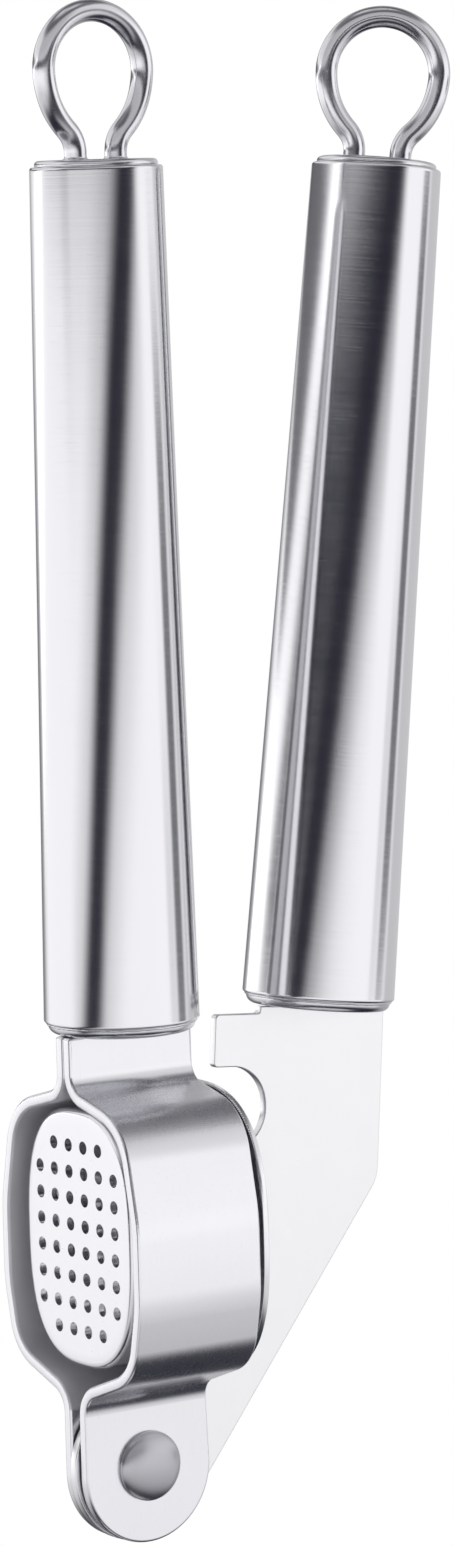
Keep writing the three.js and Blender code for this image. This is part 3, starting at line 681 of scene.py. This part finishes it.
for prefix, (body_name, place, _) in handles.items():
    cap_steel = steel(prefix + "_cap_steel", place, (0.88, 0.88, 0.91), 0.2, (0.5, 0.5, 1.2), 0.008, 0.1)
    plug = TUBE_RADII[0] - TUBE_WALL - PLUG_ROOM
    edge = TUBE_RADII[0] - LOWER_INSET
    line = rounded_line([
        (0, -CAP_STEP, 0), (edge, -CAP_STEP, CAP_ROUND), (edge, -FIT_GAP, 0.08), (plug, -FIT_GAP, 0),
        (plug, CAP_PLUG, 0.3), (0, CAP_PLUG, 0)], 10.0)
    body = turned([tuple(point) for point, _ in line], 128)
    bead = grown("weld_bead", polyline("weld_line", ring_points(edge + 0.02, -0.1), place, closed=True), [
        ("Ripple", "NodeSocketFloat", 0.0003), ("Unevenness", "NodeSocketFloat", 0.00022),
        ("Radius", "NodeSocketFloat", 0.00017), ("Material", "NodeSocketMaterial", cap_steel)], weld_bead)
    lower_cap = solid(prefix + "_lower_cap", body, place, cap_steel)
    joined = bmesh.new()
    joined.from_mesh(lower_cap.data)
    joined.from_mesh(bead)
    joined.to_mesh(lower_cap.data)
    joined.free()
    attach(lower_cap, body_name)
    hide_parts(prefix + "_handle_lower_cap")

    plug = TUBE_RADII[2] - TUBE_WALL - PLUG_ROOM
    edge = TUBE_RADII[2] - UPPER_INSET
    top = TUBE_LENGTH + CAP_LIP
    line = rounded_line([
        (0, TUBE_LENGTH - CAP_PLUG, 0), (plug, TUBE_LENGTH - CAP_PLUG, 0.3),
        (plug, TUBE_LENGTH + FIT_GAP, 0), (edge, TUBE_LENGTH + FIT_GAP, 0.08),
        (edge, top, 0.55), (0, top, 0)], 10.0)
    body = turned([tuple(point) for point, _ in line], 128)
    upper_cap = solid(prefix + "_upper_cap", body, place, cap_steel)
    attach(upper_cap, body_name)
    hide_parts(prefix + "_handle_upper_cap")


# ---- Wire loops ----
# A loop of 2.8 mm stainless wire at the top of each handle, bent to an omega and electropolished. Its two feet
# are set in holes of the upper cap and welded there with a small collar.

WIRE_RADIUS = 1.4
LOOP_RADIUS = 7.2
LOOP_RISE = 10.95
LOOP_FOOT = 2.95
LOOP_FOOT_BEND = 4.0
LOOP_FOOT_RISE = 0.8
FOOT_TURN = 45.0                      # the flank leaves the foot's bend at this angle
CROWN_DROP = 5.0                      # and joins the round crown this far below its centre
FLANK_PULL, FLANK_STEPS = 2.7, 18     # how full the flanks are
WIRE_INSET = 0.015                    # keeps the wire inside the CAD model's box
COLLAR_HEIGHT = 0.35
COLLAR_ROUND = 0.3


def sweep_wire(graph, entry):
    """A round wire along a bent line, its ends closed."""
    line = graph.node("GeometryNodeMeshToCurve", {}, {"Mesh": entry.out("Geometry")})
    section = graph.node("GeometryNodeCurvePrimitiveCircle", {"mode": "RADIUS"}, {
        "Resolution": 36, "Radius": entry.out("Radius")})
    return graph.node("GeometryNodeCurveToMesh", {}, {
        "Curve": line, "Profile Curve": section, "Fill Caps": True})


def absorb(whole, part, place=Matrix()):
    """Moves one bmesh, put in its place, into another."""
    mesh = bpy.data.meshes.new("part")
    part.to_mesh(mesh)
    part.free()
    mesh.transform(place)
    whole.from_mesh(mesh)
    bpy.data.meshes.remove(mesh)


across = LOOP_FOOT + LOOP_FOOT_BEND
foot_end = (LOOP_FOOT, -CAP_PLUG - CAP_LIP, 0)
foot_bend = arc((across, LOOP_FOOT_RISE), LOOP_FOOT_BEND, 180, 180 - FOOT_TURN, 4.0)
crown = arc((0, LOOP_RISE), LOOP_RADIUS, -CROWN_DROP, 180 + CROWN_DROP, 4.0)
lean, drop = math.radians(FOOT_TURN), math.radians(CROWN_DROP)
low_end, high_end = Vector(foot_bend[-1][:2]), Vector(crown[0][:2])
low_pull = low_end + Vector((math.sin(lean), math.cos(lean))) * FLANK_PULL
high_pull = high_end - Vector((math.sin(drop), math.cos(drop))) * FLANK_PULL
flank_spots = interpolate_bezier(low_end, low_pull, high_pull, high_end, FLANK_STEPS)
half_loop = [foot_end, *foot_bend] + [(spot.x, spot.y, 0) for spot in flank_spots[1:-1]]
loop_line = half_loop + crown + [(-x, z, 0) for x, z, _ in reversed(half_loop)]
collar_inner, collar_outer = WIRE_RADIUS - 0.2, WIRE_RADIUS + 0.3

for prefix, (body_name, place, loop_turn) in handles.items():
    turned_place = place @ Matrix.Rotation(math.radians(loop_turn), 4, "Z")
    at_cap = turned_place @ Matrix.Translation((0, 0, TUBE_LENGTH + CAP_LIP))
    wire_steel = steel(prefix + "_wire_steel", at_cap, (0.88, 0.88, 0.91), 0.17, (0.6, 0.6, 0.6), 0.006)
    route = polyline("loop_line", [(x, 0, z) for x, z, _ in loop_line], at_cap)
    wire = grown("sweep_wire", route, [
        ("Radius", "NodeSocketFloat", (WIRE_RADIUS - WIRE_INSET) * 0.001),
        ("Material", "NodeSocketMaterial", wire_steel)], sweep_wire)
    joined = bmesh.new()
    joined.from_mesh(wire)
    for foot in (-LOOP_FOOT, LOOP_FOOT):
        collar = [(collar_inner, -0.3), (collar_outer + 0.05, -0.3), (collar_outer, 0.05)]
        for degrees in range(15, 91, 15):
            angle = math.radians(degrees)
            collar.append((collar_outer - COLLAR_ROUND * math.sin(angle),
                           COLLAR_HEIGHT - COLLAR_ROUND * math.cos(angle)))
        collar.append((collar_inner, COLLAR_HEIGHT))
        absorb(joined, turned(collar, 36, closed=True), at_cap @ Matrix.Translation((foot, 0, 0)))
    joined.to_mesh(wire)
    joined.free()
    loop = piece_of(prefix + "_loop", wire)
    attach(loop, body_name)
    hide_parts(prefix + "_handle_loop")


# ---- Lever plate ----
# One flat blank of 1.2 mm stainless: tab that stops on the neck, round notch over the chamber, nose that
# carries the plunger, foot and hinge end; its tang goes up into the lever handle. Satin faces, broken edges.

PLATE_THICKNESS = 1.2
PLATE_EDGE = 0.14
TAB_X, TAB_BOTTOM, TAB_TOP = 9.2, 49.45, 56.1
TAB_END = 16.0                        # where the tab's top edge meets the edge under the cap
NOTCH = (12.0, 44.15)
NOTCH_RADIUS = 5.3
FRONT_X = 11.5
NOSE_ROOT = 26.5
FOOT_Z = 10.0
HINGE_END = 9.79
BACK_X = 35.3
BACK_ANGLE = 55.7
PIN = (0.4, 33.0)
PIN_RADIUS = 1.5
NOSE_RADIUS = 2.8
TANG_LENGTH = 12.0
CAP_CLEAR = 0.1
RUNNING_GAP = 0.06


def touch_angle(spot, centre, radius, side):
    """Where a line from a point touches a circle, in degrees; side is +1 or -1."""
    across, up = spot[0] - centre[0], spot[1] - centre[1]
    return math.degrees(math.atan2(up, across) + side * math.acos(radius / math.hypot(across, up)))


def under_cap(x):
    lean = math.radians(LEVER_LEAN)
    return LEVER_TUBE[1] - (x - LEVER_TUBE[0]) * math.tan(lean) - (CAP_STEP + CAP_CLEAR) / math.cos(lean)


def in_handle(across, up):
    lean = math.radians(LEVER_LEAN)
    return (LEVER_TUBE[0] + up * math.sin(lean) + across * math.cos(lean),
            LEVER_TUBE[1] + up * math.cos(lean) - across * math.sin(lean))


nose_top = touch_angle((NOTCH[0], NOTCH[1] - NOTCH_RADIUS), PIN, NOSE_RADIUS, 1)
nose_under = touch_angle((FRONT_X, NOSE_ROOT), PIN, NOSE_RADIUS, -1)
foot_touch = touch_angle((FRONT_X, FOOT_Z), (0, 0), HINGE_END, 1)
back = math.radians(BACK_ANGLE)
touch = (HINGE_END * math.sin(back), -HINGE_END * math.cos(back))
corner_z = touch[1] + (BACK_X - touch[0]) * math.tan(back)
tang = [(*in_handle(TANG_HALF, -CAP_STEP - CAP_CLEAR), 0), (*in_handle(TANG_HALF, TANG_LENGTH), 1.0),
        (*in_handle(-TANG_HALF, TANG_LENGTH), 1.0), (*in_handle(-TANG_HALF, -CAP_STEP - CAP_CLEAR), 0)]
plate_outline = rounded_ring(
    [(TAB_X, TAB_BOTTOM, 0.5)]
    + arc(NOTCH, NOTCH_RADIUS, 90, -90)
    + arc(PIN, NOSE_RADIUS, nose_top, nose_under + 360, 5.0)
    + [(FRONT_X, NOSE_ROOT, 3), (FRONT_X, FOOT_Z, 1.2)]
    + arc((0, 0), HINGE_END, foot_touch, 270 + BACK_ANGLE)
    + [(BACK_X, corner_z, 5), (BACK_X, under_cap(BACK_X), 0.3)]
    + tang
    + [(TAB_END, under_cap(TAB_END), 0), (TAB_END, TAB_TOP, 0.4), (TAB_X, TAB_TOP, 0.5)])
plate_holes = [hole((0, 0), SHANK_RADIUS + RUNNING_GAP), hole(PIN, PIN_RADIUS + RUNNING_GAP)]
plate_steel = steel("plate_steel", LEVER, (0.99, 0.99, 1.0), 0.29, (0.5, 0.5, 0.5), 0.002, 0.05)
body = sheet([plate_outline, *plate_holes], PLATE_THICKNESS, PLATE_EDGE,
             spread=lambda u, v, depth: (u, depth - PLATE_THICKNESS / 2, v))
plate = solid("plate", body, LEVER, plate_steel)
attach(plate, "lever_half")
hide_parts("lever_plate")


# ---- Plunger ----
# A 2 mm stainless plate that fills the cup and pushes the garlic through the holes. A folded bracket is spot
# welded to its back and swings on a peened pin through the lever's nose.

PLUNGER_FACE = -5.9
PLUNGER_THICKNESS = 2.0
PLUNGER_Z = 31.2
PLUNGER_HALF = (10.2, 12.7)
LUG_THICKNESS = 1.0
LUG_GAP = 0.4
LUG_REACH = 5.5
PLUNGER_MARGIN = 1.5                  # ring of the faces left outside their flat middle
PLUNGER_RATIO = 0.6                   # it turns back by this share of the lever's turn
PIN_PROUD = 0.4
PIN_FIT = 0.02

swing = -math.radians(rest_open) * PLUNGER_RATIO
pin_spot = Matrix.Translation((PIN[0], 0, PIN[1]))
PLUNGER = LEVER @ pin_spot @ Matrix.Rotation(swing, 4, "Y") @ pin_spot.inverted()

plunger_steel = steel("plunger_steel", PLUNGER, (0.8, 0.8, 0.83), 0.26, (0.5, 2.4, 0.12), 0.005, 0.08)
back_face = PLUNGER_FACE + PLUNGER_THICKNESS
wide, tall = PLUNGER_HALF
flat_wide, flat_tall = wide - PLUNGER_MARGIN, tall - PLUNGER_MARGIN
body = squared_body(soften([
    (PLUNGER_FACE, flat_wide, flat_tall, PLUNGER_Z, 0), (PLUNGER_FACE, wide, tall, PLUNGER_Z, 0.5),
    (back_face, wide, tall, PLUNGER_Z, 0.5), (back_face, flat_wide, flat_tall, PLUNGER_Z, 0)]), 144)
plunger = solid("plunger_disc", body, PLUNGER, plunger_steel)
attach(plunger, "plunger")
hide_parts("plunger_plate")

base_x = back_face + FIT_GAP
lug_inner = PLATE_THICKNESS / 2 + LUG_GAP
lug_outer = lug_inner + LUG_THICKNESS
shoulder_x = base_x + LUG_THICKNESS
lug_bottom, lug_top = PIN[1] - LUG_REACH, PIN[1] + LUG_REACH
lug_upper = touch_angle((shoulder_x, lug_top), PIN, NOSE_RADIUS, -1)
lug_lower = touch_angle((shoulder_x, lug_bottom), PIN, NOSE_RADIUS, 1)
lug_outline = rounded_ring(
    [(base_x, lug_top, 0.3), (base_x, lug_bottom, 0.3), (shoulder_x, lug_bottom, 0.3)]
    + arc(PIN, NOSE_RADIUS, lug_lower, lug_upper, 5.0)
    + [(shoulder_x, lug_top, 0.3)])
bracket = bmesh.new()
for low in (-lug_outer, lug_inner):
    absorb(bracket, sheet([lug_outline, hole(PIN, PIN_RADIUS + PIN_FIT)], LUG_THICKNESS, 0.15,
                          spread=lambda u, v, depth, low=low: (u, low + depth, v)))
web = lug_inner + 0.2
web_outline = rounded_ring([
    (-web, lug_bottom, 0.2), (web, lug_bottom, 0.2), (web, lug_top, 0.2), (-web, lug_top, 0.2)])
absorb(bracket, sheet([web_outline], LUG_THICKNESS, 0.15, spread=lambda u, v, depth: (base_x + depth, u, v)))
bracket = solid("plunger_fork", bracket, PLUNGER, plunger_steel)
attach(bracket, "plunger")
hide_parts("plunger_bracket")

pin_end = lug_outer + PIN_PROUD
line = rounded_line([
    (0, -pin_end, 0), (PIN_RADIUS, -pin_end, 0.5), (PIN_RADIUS, pin_end, 0.5), (0, pin_end, 0)], 15.0)
pin = solid("pin", turned([tuple(point) for point, _ in line], 48), PLUNGER @ pin_spot @ ON_Y, rivet_steel)
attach(pin, "plunger")
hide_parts("plunger_pin")


# ---- Studio ----
# A white sweep and floor, and round the press a tent of light panels with dark cards between them, which
# polished steel needs to show its form. The tent is the world's light; the camera sees only white behind.

FLOOR_Z = -0.30
FLOOR_HALF_SIDE = 3.0
WHITE = (1.0, 1.0, 1.0, 1.0)
CAMERA_SPOT = (-0.384822, -0.584516, -0.022418)
CAMERA_TURN = (84.256, 1.6118, -34.663)
LENS = 132.22

floor_mesh = bpy.data.meshes.new("floor")
floor_corners = [(x * FLOOR_HALF_SIDE, y * FLOOR_HALF_SIDE, FLOOR_Z)
                 for x, y in ((-1, -1), (1, -1), (1, 1), (-1, 1))]
floor_mesh.from_pydata(floor_corners, [], [(0, 1, 2, 3)])
floor = bpy.data.objects.new("floor", floor_mesh)
bpy.context.scene.collection.objects.link(floor)
floor_white = bpy.data.materials.new("floor_white")
floor_white.use_nodes = True
graph = Graph(floor_white.node_tree)
graph.node("ShaderNodeOutputMaterial", {}, {
    "Surface": graph.node("ShaderNodeEmission", {}, {"Color": WHITE, "Strength": 1.0})})
floor_mesh.materials.append(floor_white)
floor.visible_glossy = False
floor.visible_diffuse = False
floor.visible_shadow = False

world = bpy.data.worlds.new("tent")
bpy.context.scene.world = world
world.use_nodes = True
graph = Graph(world.node_tree)
way = graph.node("ShaderNodeTexCoord", output="Generated")
heading = math.radians(CAMERA_TURN[2])
across = graph.node("ShaderNodeVectorMath", {"operation": "DOT_PRODUCT"}, {
    0: way, 1: (math.cos(heading), math.sin(heading), 0.0)}, output="Value")
toward = graph.node("ShaderNodeVectorMath", {"operation": "DOT_PRODUCT"}, {
    0: way, 1: (math.sin(heading), -math.cos(heading), 0.0)}, output="Value")
height = graph.node("ShaderNodeSeparateXYZ", {}, {0: way}, output=2)
DEGREES = 180 / math.pi
bearing = across.maths("ARCTAN2", across, toward) * DEGREES     # 0 to the front, positive to the right
rise = height.maths("ARCSINE", height) * DEGREES
step = graph.step

# the tent dims towards its roof and its foot, and is light again right above and below the press
light = 1.07 - step(rise, 8.0, 26.0) * 0.30 - step(rise, 40.0, 54.0) * 0.58
light = light - step(rise, -8.0, -21.0) * 0.36 - step(rise, -25.0, -47.0) * 0.68
light = light + step(rise, -62.0, -74.0) * 0.6 + step(rise, 66.0, 78.0) * 0.5
# a dark card over the lens, with the light below it fading towards it
front = step(bearing, 62.0, 48.0) * step(bearing, -70.0, -56.0)
light = light * (1 - front * step(rise, -2.0, 4.0) * 0.35)
light = light * (1 - front * step(rise, 3.0, 4.6) * step(rise, 12.6, 11.4) * 0.97)
# a dark opening at the left, with one slanted light tube in it
opening = step(bearing, -44.0, -54.0) * step(rise, 1.4, 2.8) * step(rise, 13.5, 9.5)
light = light * (1 - opening * 0.86)
tube_rise = (bearing + 107.0) * 0.235 + 4.2
tube = step(abs(rise - tube_rise), 3.0, 1.5) * step(bearing, -148.0, -136.0) * step(bearing, -64.0, -74.0)
light = light + tube * 1.05
# the tent's seam and the folds beside it, at the right
light = light * (1 - step(bearing, 108.0, 122.0) * 0.42)
seam = step(abs(bearing - 103.0), 12.0, 5.0) * step(rise, 0.5, -1.5) * step(rise, -10.0, -8.6)
fold = step(abs(bearing - 86.0), 9.0, 3.0) * step(rise, -3.5, -5.0) * step(rise, -9.0, -7.6)
light = light * (1 - seam * 0.85)
light = light * (1 - fold * 0.3)
# behind the press at the left
light = light * (1 - step(bearing, -128.0, -155.0) * step(rise, 3.0, -4.0) * 0.6)
light = light * (1 - step(bearing, -140.0, -165.0) * 0.5)
tent = graph.node("ShaderNodeBackground", {}, {
    "Color": graph.node("ShaderNodeCombineColor", {}, {
        0: light, 1: light * 0.995 + 0.001, 2: light + 0.012})})
white = graph.node("ShaderNodeBackground", {}, {"Color": WHITE})
seen = graph.node("ShaderNodeLightPath", output="Is Camera Ray")
graph.node("ShaderNodeOutputWorld", {}, {
    "Surface": graph.node("ShaderNodeMixShader", {}, {0: seen, 1: tent, 2: white})})

# A soft-edged dark ribbon hangs round the chamber handle, slanting; only reflections show it.
CARD_DISTANCE = 120.0
CARD_LINE = (                          # turn about the handle, and the ribbon's middle height there
    (-80, -196), (-60, -166), (-39, -133), (-29, -117), (-17, -97), (-2, -77),
    (13, -57), (32, -37), (50, -17), (65, 0), (80, 16))
CARD_HALF = 78.0
CARD_SWEEP = 160.0
card_spots, card_uv, card_faces = [], [], []
for turn, middle in CARD_LINE:
    angle = heading + math.radians(turn)
    for row in (-1, 1):
        card_spots.append(MILLIMETRE @ Vector((
            CARD_DISTANCE * math.sin(angle), -CARD_DISTANCE * math.cos(angle), middle + row * CARD_HALF)))
        card_uv.append((turn / CARD_SWEEP + 0.5, row / 2 + 0.5))
for i in range(len(CARD_LINE) - 1):
    card_faces.append((2 * i, 2 * i + 2, 2 * i + 3, 2 * i + 1))
card_mesh = bpy.data.meshes.new("dark_card")
card_mesh.from_pydata(card_spots, [], card_faces)
layer = card_mesh.uv_layers.new(name="card")
for loop in card_mesh.loops:
    layer.data[loop.index].uv = card_uv[loop.vertex_index]
card = bpy.data.objects.new("dark_card", card_mesh)
bpy.context.scene.collection.objects.link(card)
card.visible_camera = False
card_black = bpy.data.materials.new("card_black")
card_black.use_nodes = True
graph = Graph(card_black.node_tree)
spot = graph.node("ShaderNodeSeparateXYZ", {}, {0: graph.node("ShaderNodeUVMap", {"uv_map": "card"})})
off = abs(spot.out("Y") - 0.5) * (2 * CARD_HALF)
cover = graph.step(off, 36.0, 8.0) * 0.68 + graph.step(off, CARD_HALF, 22.0) * 0.31
cover = cover * graph.step(abs(spot.out("X") - 0.5) * CARD_SWEEP, CARD_SWEEP / 2, 62.0)
graph.node("ShaderNodeOutputMaterial", {}, {"Surface": graph.node("ShaderNodeMixShader", {}, {
    0: cover, 1: graph.node("ShaderNodeBsdfTransparent"),
    2: graph.node("ShaderNodeEmission", {}, {"Color": (0.02, 0.018, 0.03, 1.0)})})})
card_mesh.materials.append(card_black)

lens = bpy.data.cameras.new("camera")
lens.lens = LENS
lens.clip_start, lens.clip_end = 0.01, 20.0
camera = bpy.data.objects.new("camera", lens)
camera.location = CAMERA_SPOT
camera.rotation_euler = [math.radians(turn) for turn in CAMERA_TURN]
bpy.context.scene.collection.objects.link(camera)
bpy.context.scene.camera = camera
bpy.context.scene.view_settings.view_transform = "Standard"
